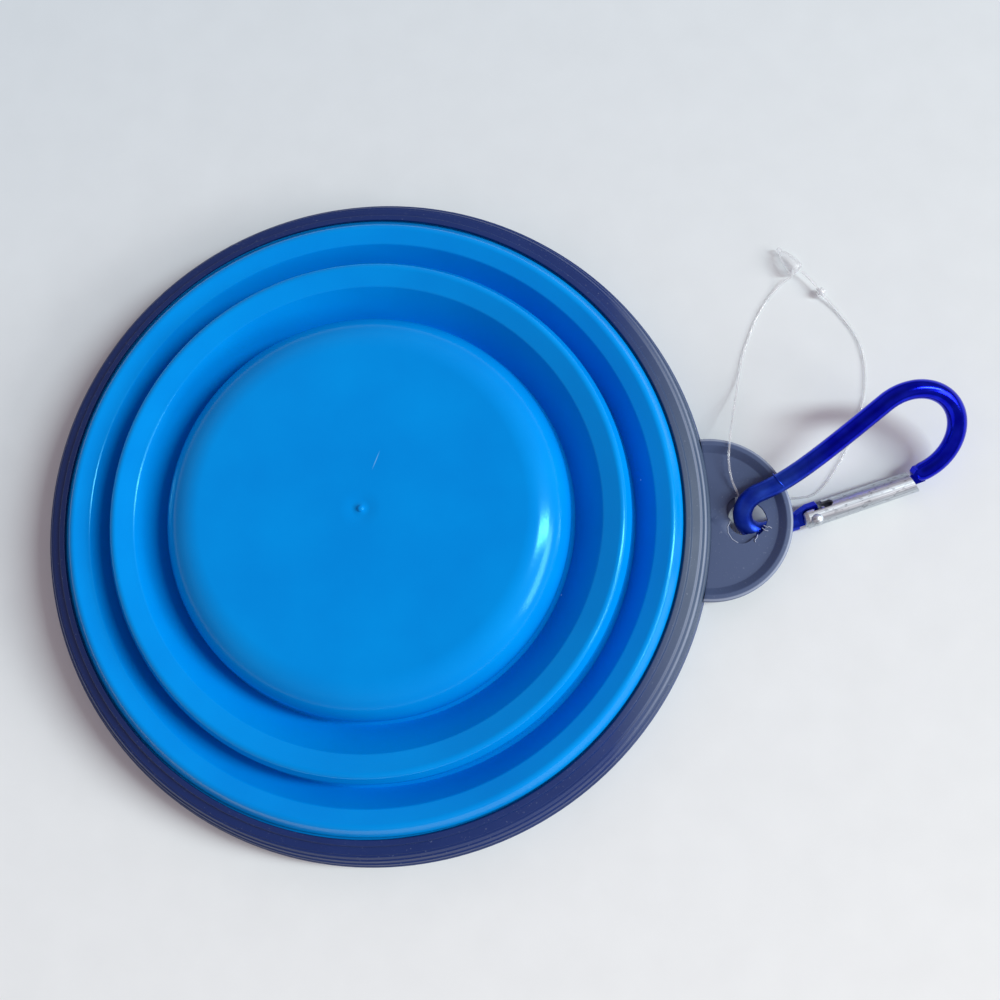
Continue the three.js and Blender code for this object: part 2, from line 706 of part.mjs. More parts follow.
console.log(`swing axis at ${swingAxis}; gate pivot at ${hook.position.toArray()}`);
bowl.add(hook);

const lockBase = new THREE.Vector3(...LOCK_PLACE, LOCK_BASE_DIAMETER / 2 + LOCK_LIFT);
const lockAxis = new THREE.Vector3(...LOCK_AXIS);
const ballAxis = THREAD_POINTS[ballIndex + 1].clone().sub(THREAD_POINTS[ballIndex - 1]);
bowl.add(
  piece('tag_loop', tagLoop(), clearNylon),
  aim(piece('tag_lock', tagLock(), clearNylon), lockBase, lockAxis),
  aim(piece('tag_ball', tagBall(), clearNylon), THREAD_POINTS[ballIndex], ballAxis),
);

export default bowl;
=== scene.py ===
"""Collapsible pet bowl, folded flat and lying mouth down, with a snap hook and a tag loop on its ear."""
import math

import bpy
from mathutils import Euler, Matrix, Vector


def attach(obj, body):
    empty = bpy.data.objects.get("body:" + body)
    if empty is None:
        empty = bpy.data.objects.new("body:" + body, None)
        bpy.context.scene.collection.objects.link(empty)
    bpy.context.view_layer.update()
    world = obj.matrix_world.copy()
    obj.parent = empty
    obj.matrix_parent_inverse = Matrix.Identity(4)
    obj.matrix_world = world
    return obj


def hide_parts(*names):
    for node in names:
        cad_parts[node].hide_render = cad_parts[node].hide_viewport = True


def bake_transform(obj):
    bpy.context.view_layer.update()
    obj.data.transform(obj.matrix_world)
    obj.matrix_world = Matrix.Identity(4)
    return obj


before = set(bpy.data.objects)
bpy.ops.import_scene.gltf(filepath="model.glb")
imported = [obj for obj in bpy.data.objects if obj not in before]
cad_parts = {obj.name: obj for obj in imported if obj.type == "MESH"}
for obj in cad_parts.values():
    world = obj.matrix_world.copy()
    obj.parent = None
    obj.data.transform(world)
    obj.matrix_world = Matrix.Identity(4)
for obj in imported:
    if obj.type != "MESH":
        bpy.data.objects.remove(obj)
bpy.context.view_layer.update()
scene = bpy.context.scene
scene.view_settings.view_transform = "Standard"
MM = 0.001

# Sizes of the object in millimetres, as in the solids
BASE_RADIUS = 38.9
BASE_TOP = 21.5
EAR_X = 65.5
EAR_RADIUS = 16.0
HEART_X = 71.6
SWING_AXIS = (72.0, 0.2)
GATE_PIVOT = Vector((85.9635, 1.347, 2.5))
HOOK_TURN = math.radians(18.6)
HOOK_LEAN = math.radians(40)
HOOK_PLACE = (
    Matrix.Translation(GATE_PIVOT * MM)
    @ Euler((0, 0, HOOK_TURN)).to_matrix().to_4x4()
    @ Euler((HOOK_LEAN, 0, 0)).to_matrix().to_4x4()
)

# Mesh settings: distances in metres at which points merge, and how many sides the bowl's rings have
MERGE = 0.000002
FINE_MERGE = 0.000001
RING_SIDES = 192


# Modelling helpers

def deselect():
    bpy.ops.object.select_all(action="DESELECT")


def select_only(obj):
    deselect()
    obj.select_set(True)
    bpy.context.view_layer.objects.active = obj


def arc(centre, radius, start, end, steps):
    """Points of an arc about a centre, between two angles in degrees."""
    points = []
    for i in range(steps + 1):
        angle = math.radians(start + (end - start) * i / steps)
        points.append((centre[0] + radius * math.cos(angle), centre[1] + radius * math.sin(angle)))
    return points


def rounded(corners, ring, steps=5):
    """Outline through corners of (x, y, fillet radius), with an arc in place of each filleted corner."""
    points = []
    count = len(corners)
    for i, (x, y, fillet) in enumerate(corners):
        if fillet == 0 or (not ring and i in (0, count - 1)):
            points.append((x, y))
            continue
        here = Vector((x, y))
        before = (Vector(corners[i - 1][:2]) - here).normalized()
        after = (Vector(corners[(i + 1) % count][:2]) - here).normalized()
        half = before.angle(after) / 2
        reach = fillet / math.tan(half)
        centre = here + (before + after).normalized() * (fillet / math.sin(half))
        first = here + before * reach - centre
        last = here + after * reach - centre
        turn = first.angle_signed(last)
        for k in range(steps + 1):
            angle = -turn * k / steps
            cos, sin = math.cos(angle), math.sin(angle)
            points.append((
                centre.x + first.x * cos - first.y * sin,
                centre.y + first.x * sin + first.y * cos,
            ))
    return points


def draw_outline(name, points, plane):
    """Draws an outline in edit mode from one vertex, by extruding it along the points (mm)."""
    deselect()
    bpy.ops.mesh.primitive_plane_add(size=MM)
    obj = bpy.context.object
    obj.name = name
    bpy.ops.object.mode_set(mode="EDIT")
    bpy.ops.mesh.merge(type="CENTER")

    def in_plane(a, b):
        return (a * MM, 0, b * MM) if plane == "XZ" else (a * MM, b * MM, 0)

    bpy.ops.transform.translate(value=in_plane(*points[0]))
    for (a0, b0), (a1, b1) in zip(points, points[1:]):
        bpy.ops.mesh.extrude_region_move(TRANSFORM_OT_translate={"value": in_plane(a1 - a0, b1 - b0)})
    return obj


def turned(name, points, ring=False, sides=RING_SIDES):
    """A body of revolution about Z, spun from an outline of (radius, height) in mm."""
    obj = draw_outline(name, points + points[:1] if ring else points, "XZ")
    bpy.ops.mesh.select_all(action="SELECT")
    bpy.ops.mesh.spin(steps=sides, angle=2 * math.pi, center=(0, 0, 0), axis=(0, 0, 1))
    bpy.ops.mesh.select_all(action="SELECT")
    bpy.ops.mesh.remove_doubles(threshold=MERGE)
    bpy.ops.mesh.normals_make_consistent(inside=False)
    bpy.ops.object.mode_set(mode="OBJECT")
    return obj


def prism(name, points, low, high):
    """A flat outline of (x, y) in mm, filled and extruded between two heights."""
    obj = draw_outline(name, points + points[:1], "XY")
    bpy.ops.mesh.select_all(action="SELECT")
    bpy.ops.mesh.remove_doubles(threshold=MERGE)
    bpy.ops.mesh.edge_face_add()
    bpy.ops.transform.translate(value=(0, 0, low * MM))
    bpy.ops.mesh.extrude_region_move(TRANSFORM_OT_translate={"value": (0, 0, (high - low) * MM)})
    bpy.ops.mesh.select_all(action="SELECT")
    bpy.ops.mesh.normals_make_consistent(inside=False)
    bpy.ops.object.mode_set(mode="OBJECT")
    return obj


def block(name, low, high):
    """A box between two corners in mm, drawn as a plate and extruded."""
    corners = [(low[0], low[1]), (high[0], low[1]), (high[0], high[1]), (low[0], high[1])]
    return prism(name, corners, low[2], high[2])


def combine(obj, tool, operation):
    """Cuts or joins a piece with another solid, which is then gone."""
    select_only(obj)
    cut = obj.modifiers.new("cut", "BOOLEAN")
    cut.operation = operation
    cut.solver = "EXACT"
    cut.object = tool
    bpy.ops.object.modifier_apply(modifier=cut.name)
    bpy.data.objects.remove(tool)


def break_edges(obj, width, angle, segments=2):
    """Rounds by a small width in mm the edges of a piece that are sharper than an angle in degrees."""
    select_only(obj)
    bevel = obj.modifiers.new("edges", "BEVEL")
    bevel.width = width * MM
    bevel.segments = segments
    bevel.limit_method = "ANGLE"
    bevel.angle_limit = math.radians(angle)
    bpy.ops.object.modifier_apply(modifier=bevel.name)


def standing(point, axis):
    """The place of a turned piece that stands on a point (mm) and points along an axis."""
    return Matrix.Translation(Vector(point) * MM) @ axis.to_track_quat("Z", "Y").to_matrix().to_4x4()


def place(obj, matrix):
    """Puts a finished piece in its place and applies the place to its mesh."""
    obj.matrix_world = matrix
    select_only(obj)
    bpy.ops.object.transform_apply(location=True, rotation=True, scale=True)


def smooth(obj, angle, keep_flat=True):
    """Shades a piece smooth below an angle in degrees, with its larger faces kept flat or not."""
    select_only(obj)
    bpy.ops.object.shade_smooth_by_angle(angle=math.radians(angle))
    if not keep_flat:
        return
    even = obj.modifiers.new("even", "WEIGHTED_NORMAL")
    even.keep_sharp = True
    bpy.ops.object.modifier_apply(modifier=even.name)


def tube(name, points, diameter, roundness, poly=True):
    """A round bar along points in mm, as a curve with a bevel of that resolution."""
    deselect()
    bpy.ops.curve.primitive_nurbs_path_add()
    obj = bpy.context.object
    obj.name = name
    curve = obj.data
    curve.splines.clear()
    spline = curve.splines.new("POLY" if poly else "BEZIER")
    if poly:
        spline.points.add(len(points) - 1)
        for point, co in zip(spline.points, points):
            point.co = (co[0] * MM, co[1] * MM, co[2] * MM, 1)
    else:
        spline.bezier_points.add(len(points) - 1)
        for point, co in zip(spline.bezier_points, points):
            point.co = Vector(co) * MM
            point.handle_left_type = "AUTO"
            point.handle_right_type = "AUTO"
    curve.dimensions = "3D"
    curve.bevel_depth = diameter / 2 * MM
    curve.bevel_resolution = roundness
    curve.use_fill_caps = True
    return obj


def to_mesh(obj):
    """Makes a tube a closed mesh with its faces outwards."""
    select_only(obj)
    bpy.ops.object.convert(target="MESH")
    bpy.ops.object.mode_set(mode="EDIT")
    bpy.ops.mesh.select_all(action="SELECT")
    bpy.ops.mesh.remove_doubles(threshold=FINE_MERGE)
    bpy.ops.mesh.normals_make_consistent(inside=False)
    bpy.ops.object.mode_set(mode="OBJECT")


# Materials

def linear(value):
    """An sRGB hex colour as linear RGBA."""
    channels = [int(value[i:i + 2], 16) / 255 for i in (1, 3, 5)]
    return [c / 12.92 if c <= 0.04045 else ((c + 0.055) / 1.055) ** 2.4 for c in channels] + [1]


def node(tree, kind, settings=None, links=None):
    """Adds a node, sets its properties, socket values or colour stops by name, and links its inputs."""
    made = tree.nodes.new(kind)
    for key, value in (settings or {}).items():
        if key == "stops":
            stops = made.color_ramp.elements
            while len(stops) < len(value):
                stops.new(1)
            for stop, (position, colour) in zip(stops, value):
                stop.position = position
                stop.color = colour
        elif isinstance(key, str) and hasattr(made, key):
            setattr(made, key, value)
        else:
            made.inputs[key].default_value = value
    for key, output in (links or {}).items():
        tree.links.new(output, made.inputs[key])
    return made


def blank(name):
    """A material with one principled shader, its node tree and that shader."""
    material = bpy.data.materials.new(name)
    material.use_nodes = True
    return material, material.node_tree, material.node_tree.nodes["Principled BSDF"]


# Masks are plain shares and not colours, so they are written as linear greys
BLACK = (0, 0, 0, 1)
FAINT = (0.45, 0.45, 0.45, 1)
STRONG = (0.8, 0.8, 0.8, 1)
WHITE = (1, 1, 1, 1)
# A scale that leaves nothing of the height, so that a length is a distance from an upright axis
FLATTEN = 1000


def moulded_rubber():
    """Thermoplastic rubber from a polished mould: an even bright blue with a satin gloss, faint cloudy
    patches left by handling, a short scratch on the base, fine grain and a few specks of dust."""
    material, tree, shader = blank("thermoplastic_rubber")
    where = node(tree, "ShaderNodeTexCoord").outputs["Object"]
    patch = 16 * MM
    clouds = node(tree, "ShaderNodeTexNoise", {"Scale": 1 / patch, "Detail": 5.0},
                  {"Vector": where}).outputs["Fac"]
    body = node(tree, "ShaderNodeValToRGB",
                {"stops": [(0.3, linear("#0087dc")), (0.7, linear("#008fe3"))]}, {"Fac": clouds})
    speck_gap = 13 * MM
    specks = node(tree, "ShaderNodeTexVoronoi", {"Scale": 1 / speck_gap}, {"Vector": where})
    dust = node(tree, "ShaderNodeValToRGB",
                {"stops": [(0.014, WHITE), (0.022, BLACK)]}, {"Fac": specks.outputs["Distance"]})
    scratch_at = Vector((2.7, 9.1, BASE_TOP)) * MM
    scratch_turn = math.radians(69)
    scratch_reach = (2.1 * MM, 0.09 * MM, 1 * MM)
    across = node(tree, "ShaderNodeMapping", {
        "vector_type": "TEXTURE", "Location": scratch_at, "Rotation": (0, 0, scratch_turn),
        "Scale": scratch_reach,
    }, {"Vector": where}).outputs["Vector"]
    away = node(tree, "ShaderNodeVectorMath", {"operation": "LENGTH"}, {0: across}).outputs["Value"]
    scratch = node(tree, "ShaderNodeValToRGB", {"stops": [(0.3, FAINT), (1.0, BLACK)]}, {"Fac": away})
    marks = node(tree, "ShaderNodeMix", {"data_type": "RGBA", "blend_type": "ADD", 0: 1.0},
                 {6: dust.outputs["Color"], 7: scratch.outputs["Color"]})
    colour = node(tree, "ShaderNodeMix", {"data_type": "RGBA", 7: linear("#9fdcfb")},
                  {0: marks.outputs[2], 6: body.outputs["Color"]})
    tree.links.new(colour.outputs[2], shader.inputs["Base Color"])
    rub = node(tree, "ShaderNodeMapRange",
               {"From Min": 0.35, "From Max": 0.7, "To Min": 0.15, "To Max": 0.21}, {"Value": clouds})
    tree.links.new(rub.outputs["Result"], shader.inputs["Roughness"])
    # The real grain is finer than a pixel of the render, so it is drawn at half a millimetre
    grit = 0.5 * MM
    grain = node(tree, "ShaderNodeTexNoise", {"Scale": 1 / grit, "Detail": 2.0}, {"Vector": where})
    bump = node(tree, "ShaderNodeBump", {"Strength": 0.03, "Distance": 0.2 * MM},
                {"Height": grain.outputs["Fac"]})
    tree.links.new(bump.outputs["Normal"], shader.inputs["Normal"])
    shader.inputs["Specular IOR Level"].default_value = 0.4
    shader.inputs["Specular Tint"].default_value = linear("#7cf0ff")
    return material


def moulded_polypropylene(name, dark, light, painted_sheen_colour, centre, edges_worn_and_highlit):
    """Polypropylene from a lightly sparked mould: indigo grey, a hazy sheen, fine pits with pale dust in
    them, a paler grey painted on towards +x, on the side the light falls on, as painted sheen, and pale
    lines on edges there, partly wear and partly painted highlight. Each such edge is a radius in mm about a
    centre, with the share to which it is paled."""
    material, tree, shader = blank(name)
    where = node(tree, "ShaderNodeTexCoord").outputs["Object"]
    # Real spark pits are finer than a pixel of the render, so they are drawn nearly half a millimetre wide
    pit = 0.45 * MM
    pits = node(tree, "ShaderNodeTexNoise", {"Scale": 1 / pit, "Detail": 3.0},
                {"Vector": where}).outputs["Fac"]
    patch = 9 * MM
    clouds = node(tree, "ShaderNodeTexNoise", {"Scale": 1 / patch, "Detail": 3.0},
                  {"Vector": where}).outputs["Fac"]
    body = node(tree, "ShaderNodeValToRGB",
                {"stops": [(0.3, linear(dark)), (0.7, linear(light))]}, {"Fac": clouds})
    # A paler grey painted on towards +x, where the light falls: painted sheen
    side = node(tree, "ShaderNodeSeparateXYZ", links={"Vector": where}).outputs["X"]
    painted_sheen_side = node(tree, "ShaderNodeMapRange",
                 {"From Min": 46 * MM, "From Max": 62 * MM, "To Min": 0.0, "To Max": 1.0}, {"Value": side})
    painted_sheen_mix = node(tree, "ShaderNodeMix", {"data_type": "RGBA", 7: linear(painted_sheen_colour)},
                 {0: painted_sheen_side.outputs["Result"], 6: body.outputs["Color"]})
    pale = node(tree, "ShaderNodeMapRange",
                {"From Min": 0.66, "From Max": 0.78, "To Min": 0.0, "To Max": 0.4},
                {"Value": pits}).outputs["Result"]
    from_axis = node(tree, "ShaderNodeMapping", {
        "vector_type": "TEXTURE", "Location": (centre * MM, 0, 0), "Scale": (MM, MM, FLATTEN),
    }, {"Vector": where}).outputs["Vector"]
    radius = node(tree, "ShaderNodeVectorMath", {"operation": "LENGTH"}, {0: from_axis}).outputs["Value"]
    # Pale lines on edges on that side, partly wear and partly painted highlight
    for edge, share in edges_worn_and_highlit:
        away = node(tree, "ShaderNodeMath", {"operation": "SUBTRACT", 1: edge},
                    {0: radius}).outputs["Value"]
        off = node(tree, "ShaderNodeMath", {"operation": "ABSOLUTE"}, {0: away}).outputs["Value"]
        line = node(tree, "ShaderNodeMapRange",
                    {"From Min": 0.1, "From Max": 0.32, "To Min": share, "To Max": 0.0}, {"Value": off})
        edge_on_sheen_side = node(tree, "ShaderNodeMath", {"operation": "MULTIPLY"},
                      {0: line.outputs["Result"], 1: painted_sheen_side.outputs["Result"]}).outputs["Value"]
        pale = node(tree, "ShaderNodeMath", {"operation": "MAXIMUM"},
                    {0: pale, 1: edge_on_sheen_side}).outputs["Value"]
    colour = node(tree, "ShaderNodeMix", {"data_type": "RGBA", 7: linear("#929db3")},
                  {0: pale, 6: painted_sheen_mix.outputs[2]})
    tree.links.new(colour.outputs[2], shader.inputs["Base Color"])
    sheen = node(tree, "ShaderNodeMapRange",
                 {"From Min": 0.3, "From Max": 0.7, "To Min": 0.44, "To Max": 0.52}, {"Value": clouds})
    tree.links.new(sheen.outputs["Result"], shader.inputs["Roughness"])
    bump = node(tree, "ShaderNodeBump", {"Strength": 0.12, "Distance": 0.1 * MM}, {"Height": pits})
    tree.links.new(bump.outputs["Normal"], shader.inputs["Normal"])
    shader.inputs["Specular IOR Level"].default_value = 0.38
    return material


def along_hook(tree, length, width):
    """Coordinates that run along the hook's gate: one unit is length mm along it and width mm across."""
    where = node(tree, "ShaderNodeTexCoord").outputs["Object"]
    return node(tree, "ShaderNodeMapping", {
        "vector_type": "TEXTURE", "Location": GATE_PIVOT * MM, "Rotation": HOOK_PLACE.to_euler(),
        "Scale": (length * MM, width * MM, width * MM),
    }, {"Vector": where}).outputs["Vector"]


def anodised_aluminium():
    """Bright-dipped aluminium, dyed deep blue: a clear metal gloss with faint drawing marks, duller towards
    the ear, where the dye wears away, and paler there as painted sheen."""
    material, tree, shader = blank("anodised_aluminium")
    where = node(tree, "ShaderNodeTexCoord").outputs["Object"]
    mark = 3 * MM
    marks = node(tree, "ShaderNodeTexNoise", {"Scale": 1 / mark, "Detail": 5.0},
                 {"Vector": where}).outputs["Fac"]
    # Towards the ear the metal is rougher, and its colour paler as painted sheen
    side = node(tree, "ShaderNodeSeparateXYZ", links={"Vector": where}).outputs["X"]
    wear_and_painted_sheen = node(tree, "ShaderNodeMapRange",
                 {"From Min": 79 * MM, "From Max": 88 * MM, "To Min": 1.0, "To Max": 0.0},
                 {"Value": side}).outputs["Result"]
    dye = node(tree, "ShaderNodeValToRGB",
               {"stops": [(0.35, linear("#0c14c6")), (0.75, linear("#1a2adc"))]}, {"Fac": marks})
    painted_sheen_colour = node(tree, "ShaderNodeValToRGB",
                  {"stops": [(0.35, linear("#1e3cbc")), (0.75, linear("#3054ca"))]}, {"Fac": marks})
    colour = node(tree, "ShaderNodeMix", {"data_type": "RGBA"},
                  {0: wear_and_painted_sheen, 6: dye.outputs["Color"], 7: painted_sheen_colour.outputs["Color"]})
    tree.links.new(colour.outputs[2], shader.inputs["Base Color"])
    gloss = node(tree, "ShaderNodeMapRange",
                 {"From Min": 0.0, "From Max": 1.0, "To Min": 0.17, "To Max": 0.38}, {"Value": wear_and_painted_sheen})
    tree.links.new(gloss.outputs["Result"], shader.inputs["Roughness"])
    bump = node(tree, "ShaderNodeBump", {"Strength": 0.04, "Distance": 0.1 * MM}, {"Height": marks})
    tree.links.new(bump.outputs["Normal"], shader.inputs["Normal"])
    shader.inputs["Metallic"].default_value = 1.0
    return material


def drawn_aluminium(name, relief, polished, dull):
    """Bare drawn aluminium: silver white, with fine lines along the bar and small dark scuffs."""
    material, tree, shader = blank(name)
    # Real drawing lines are finer than a pixel of the render, so they are drawn 0.22 mm wide
    lines = node(tree, "ShaderNodeTexNoise", {"Scale": 1.0, "Detail": 4.0},
                 {"Vector": along_hook(tree, length=9, width=0.22)}).outputs["Fac"]
    scuffs = node(tree, "ShaderNodeTexNoise", {"Scale": 1.0, "Detail": 3.0},
                  {"Vector": along_hook(tree, length=1.1, width=0.5)}).outputs["Fac"]
    bright = node(tree, "ShaderNodeValToRGB",
                  {"stops": [(0.3, linear("#b6bdc4")), (0.7, linear("#e0e6ea"))]}, {"Fac": lines})
    dark = node(tree, "ShaderNodeValToRGB", {"stops": [(0.56, BLACK), (0.72, STRONG)]}, {"Fac": scuffs})
    colour = node(tree, "ShaderNodeMix", {"data_type": "RGBA", 7: linear("#82868e")},
                  {0: dark.outputs["Color"], 6: bright.outputs["Color"]})
    tree.links.new(colour.outputs[2], shader.inputs["Base Color"])
    satin = node(tree, "ShaderNodeMapRange",
                 {"From Min": 0.3, "From Max": 0.7, "To Min": polished, "To Max": dull}, {"Value": lines})
    tree.links.new(satin.outputs["Result"], shader.inputs["Roughness"])
    bump = node(tree, "ShaderNodeBump", {"Strength": relief, "Distance": 0.06 * MM}, {"Height": lines})
    tree.links.new(bump.outputs["Normal"], shader.inputs["Normal"])
    shader.inputs["Metallic"].default_value = 1.0
    return material


def spring_steel():
    """Hard drawn steel wire: grey, bright, with fine drawing lines."""
    material, tree, shader = blank("spring_steel")
    where = node(tree, "ShaderNodeTexCoord").outputs["Object"]
    # Real drawing lines are finer than a pixel of the render, so they are drawn 0.3 mm wide
    line = 0.3 * MM
    lines = node(tree, "ShaderNodeTexNoise", {"Scale": 1 / line, "Detail": 2.0},
                 {"Vector": where}).outputs["Fac"]
    body = node(tree, "ShaderNodeValToRGB",
                {"stops": [(0.3, linear("#c4c5c8")), (0.7, linear("#e4e5e7"))]}, {"Fac": lines})
    tree.links.new(body.outputs["Color"], shader.inputs["Base Color"])
    shader.inputs["Metallic"].default_value = 1.0
    shader.inputs["Roughness"].default_value = 0.25
    return material


def clear_nylon():
    """Clear nylon, drawn and moulded: see-through and a little milky, with slow waves along it."""
    material, tree, shader = blank("clear_nylon")
    where = node(tree, "ShaderNodeTexCoord").outputs["Object"]
    wave = 2.5 * MM
    waves = node(tree, "ShaderNodeTexNoise", {"Scale": 1 / wave, "Detail": 2.0},
                 {"Vector": where}).outputs["Fac"]
    body = node(tree, "ShaderNodeValToRGB",
                {"stops": [(0.3, linear("#f2f5f8")), (0.7, linear("#fdfdfe"))]}, {"Fac": waves})
    tree.links.new(body.outputs["Color"], shader.inputs["Base Color"])
    milk = node(tree, "ShaderNodeMapRange",
                {"From Min": 0.3, "From Max": 0.7, "To Min": 0.48, "To Max": 0.56}, {"Value": waves})
    tree.links.new(milk.outputs["Result"], shader.inputs["Alpha"])
    shader.inputs["Transmission Weight"].default_value = 0.6
    shader.inputs["Roughness"].default_value = 0.12
    shader.inputs["IOR"].default_value = 1.53
    return material


def table_top():
    """Matt white board: pale, slightly blue, a little darker towards the far left as painted shade, with a
    faint tooth.
    """
    material, tree, shader = blank("matt_board")
    where = node(tree, "ShaderNodeTexCoord").outputs["Object"]
    # Painted shade: darker towards the far left, for the light's falloff
    painted_falloff_length = 220 * MM
    painted_falloff = node(tree, "ShaderNodeMapping", {
        "Location": (0.52, 0.5, 0), "Rotation": (0, 0, math.radians(-66)),
        "Scale": Vector((1, 1, 1)) / painted_falloff_length,
    }, {"Vector": where}).outputs["Vector"]
    shade = node(tree, "ShaderNodeValToRGB",
                 {"stops": [(0.0, linear("#f1f4f2")), (1.0, linear("#c1d0d8"))]}, {"Fac": painted_falloff})
    mark = 9 * MM
    tooth = node(tree, "ShaderNodeTexNoise", {"Scale": 1 / mark, "Detail": 6.0}, {"Vector": where})
    mottle = node(tree, "ShaderNodeValToRGB",
                  {"stops": [(0.3, linear("#fcfcfc")), (0.7, WHITE)]}, {"Fac": tooth.outputs["Fac"]})
    colour = node(tree, "ShaderNodeMix", {"data_type": "RGBA", "blend_type": "MULTIPLY", 0: 1.0},
                  {6: shade.outputs["Color"], 7: mottle.outputs["Color"]})
    tree.links.new(colour.outputs[2], shader.inputs["Base Color"])
    shader.inputs["Roughness"].default_value = 0.85
    shader.inputs["Specular IOR Level"].default_value = 0.2
    return material


RUBBER = moulded_rubber()
# The third grey of each is painted sheen, laid on towards +x, where the ear and its hairs lie
RING_PLASTIC = moulded_polypropylene(
    "indigo_polypropylene", dark="#0b2862", light="#0f2b66", painted_sheen_colour="#3e4f68",
    centre=0, edges_worn_and_highlit=((63.5, 0.6), (64.55, 0.6)),
)
FLASH = moulded_polypropylene(
    "flash_polypropylene", dark="#8c97ae", light="#98a3ba", painted_sheen_colour="#a6b0c4", centre=EAR_X, edges_worn_and_highlit=(),
)
EAR_PLASTIC = moulded_polypropylene(
    "slate_polypropylene", dark="#253764", light="#2b3c6c", painted_sheen_colour="#48587a",
    centre=EAR_X, edges_worn_and_highlit=((15.7, 0.9),),
)
HOOK_BLUE = anodised_aluminium()
GATE_METAL = drawn_aluminium("drawn_aluminium", relief=0.25, polished=0.36, dull=0.5)
RIVET_METAL = drawn_aluminium("headed_aluminium", relief=0.02, polished=0.46, dull=0.52)
STEEL = spring_steel()
NYLON = clear_nylon()


def finish_piece(obj, material, body, slot, *nodes):
    """Gives a piece its material, rides it on its body and hides the solids it stands for. The slot is not
    used.
    """
    obj.data.materials.clear()
    obj.data.materials.append(material)
    if nodes:
        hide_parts(*nodes)
    if body:
        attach(obj, body)
    return obj


# Camera: at the photograph's viewing angle

camera_data = bpy.data.cameras.new("camera")
camera_data.lens = 43.2
camera_data.sensor_width = 36
camera = bpy.data.objects.new("camera", camera_data)
scene.collection.objects.link(camera)
right = Vector((0.997354, 0.006553, -0.072403))
down = Vector((-0.005882, -0.985391, -0.170208))
forward = Vector((-0.072461, 0.170183, -0.982745))
view = Matrix((right, -down, -forward)).transposed().to_4x4()
view.translation = Vector((41.878, -36.1, 238.138)) * MM
camera.matrix_world = view
scene.camera = camera

# Tag loop: a thread of clear nylon, closed by a lock head, with a ball on it

THREAD = [
    (83.6, 50.75, 1.5), (81.8, 49.5, 0.85), (80.4, 48.2, 0.42), (79.2, 46.8, 0.28), (77.4, 44.1, 0.28),
    (75.3, 39.5, 0.28), (73.5, 34.4, 0.28), (72.8, 31.2, 0.4), (72.1, 27.6, 1.1), (70.8, 21.4, 4.2),
    (69.7, 15.6, 6.95), (69.4, 11.0, 7.0), (70.0, 7.4, 6.6), (70.8, 5.5, 6.35), (71.2, 4.5, 6.1),
    (71.4, 3.9, 5.3), (71.5, 3.75, 4.2), (71.9, 3.9, 2.7), (73.0, 4.3, 1.3), (74.6, 4.65, 0.5),
    (76.8, 4.85, 0.28), (80.0, 5.1, 0.28), (84.0, 5.2, 0.28), (86.6, 5.8, 0.28), (88.6, 7.5, 0.28),
    (90.8, 10.5, 0.28), (93.3, 14.9, 0.28), (95.5, 20.1, 0.28), (97.1, 25.0, 0.28), (97.7, 30.0, 0.28),
    (97.5, 34.1, 0.28), (96.3, 38.1, 0.28), (94.3, 41.4, 0.28), (91.6, 44.9, 0.5), (89.4, 47.4, 1.1),
    (87.4, 50.0, 1.4), (85.65, 51.75, 1.55),
]
THREAD_DIAMETER = 0.45
BALL_INDEX = 34
BALL_AXIS = Vector((-5.2, 6.2, 0.9))
LOCK_BASE = Vector((84.6, 51.9, 1.75))
LOCK_AXIS = Vector((-0.57, 0.81, -0.12)).normalized()


def tag_thread():
    """Thread, kept as a curve, as a cord is."""
    thread = tube("tag_thread", THREAD, THREAD_DIAMETER, roundness=4, poly=False)
    thread.data.resolution_u = 8
    return finish_piece(thread, NYLON, "rim", "clear_nylon", "tag_loop")


def tag_lock_head():
    """Bullet-shaped lock: a socket for the thread at its base and a small knob at its point."""
    lock = turned("tag_lock_head", rounded([
        (0, 0.5, 0), (0.7, 0.5, 0.15), (0.75, 0, 0.15), (1.4, 0, 0.2), (1.6, 0.5, 0.3), (1.42, 2.6, 1.5),
        (0.85, 4.7, 0.5), (0.42, 5.05, 0.12), (0.62, 5.5, 0.2), (0.42, 6.15, 0.18), (0, 6.25, 0),
    ], ring=False, steps=4), sides=32)
    place(lock, standing(LOCK_BASE, LOCK_AXIS))
    smooth(lock, angle=50)
    return finish_piece(lock, NYLON, "rim", "clear_nylon", "tag_lock")


def tag_ball_bead():
    """Ball with a bore, threaded near the lock."""
    outside = arc((0.15, 0), radius=0.85, start=-80, end=80, steps=12)
    ball = turned("tag_ball_bead", [(0.3, -1.0)] + outside + [(0.3, 1.0)], ring=True, sides=32)
    place(ball, standing(THREAD[BALL_INDEX], BALL_AXIS))
    smooth(ball, angle=50)
    return finish_piece(ball, NYLON, "rim", "clear_nylon", "tag_ball")


thread = tag_thread()
lock_head = tag_lock_head()
ball_bead = tag_ball_bead()


# Soft wall: one moulding, modelled in the bands that its folds part

COLLAR_CREST = (58.2, 14.68)
OUTER_CREASE = (54.8, 13.4)
OUTER_VALLEY = (51.2, 8.25)
MIDDLE_CREST = (48.85, 18.05)
INNER_CREASE = (44.8, 16.6)
INNER_VALLEY = (39.6, 10.25)
CREST_FILLET = 1.1
CREASE_FILLET = 0.8
WEB = 1.1
BASE_EDGE = (30.7, 13.3)
BASE_EDGE_RADIUS = 8.2
BASE_INNER_RADIUS = 6.2
BASE_UNDERSIDE = 19.5


def ledge_joint(crease, crest):
    """Upper and lower point halfway along a ridge's ledge, where the ridge runs on into its web."""
    middle = (Vector(crease) + Vector(crest)) / 2
    along = (Vector(crest) - Vector(crease)).normalized()
    return (middle.x, middle.y), (middle.x + along.y * WEB, middle.y - along.x * WEB)


def web_foot(crease, valley):
    """The point under a valley, square to its web's slope and a web's thickness away."""
    slope = (Vector(crease) - Vector(valley)).normalized()
    return valley[0] + slope.y * WEB, valley[1] - slope.x * WEB


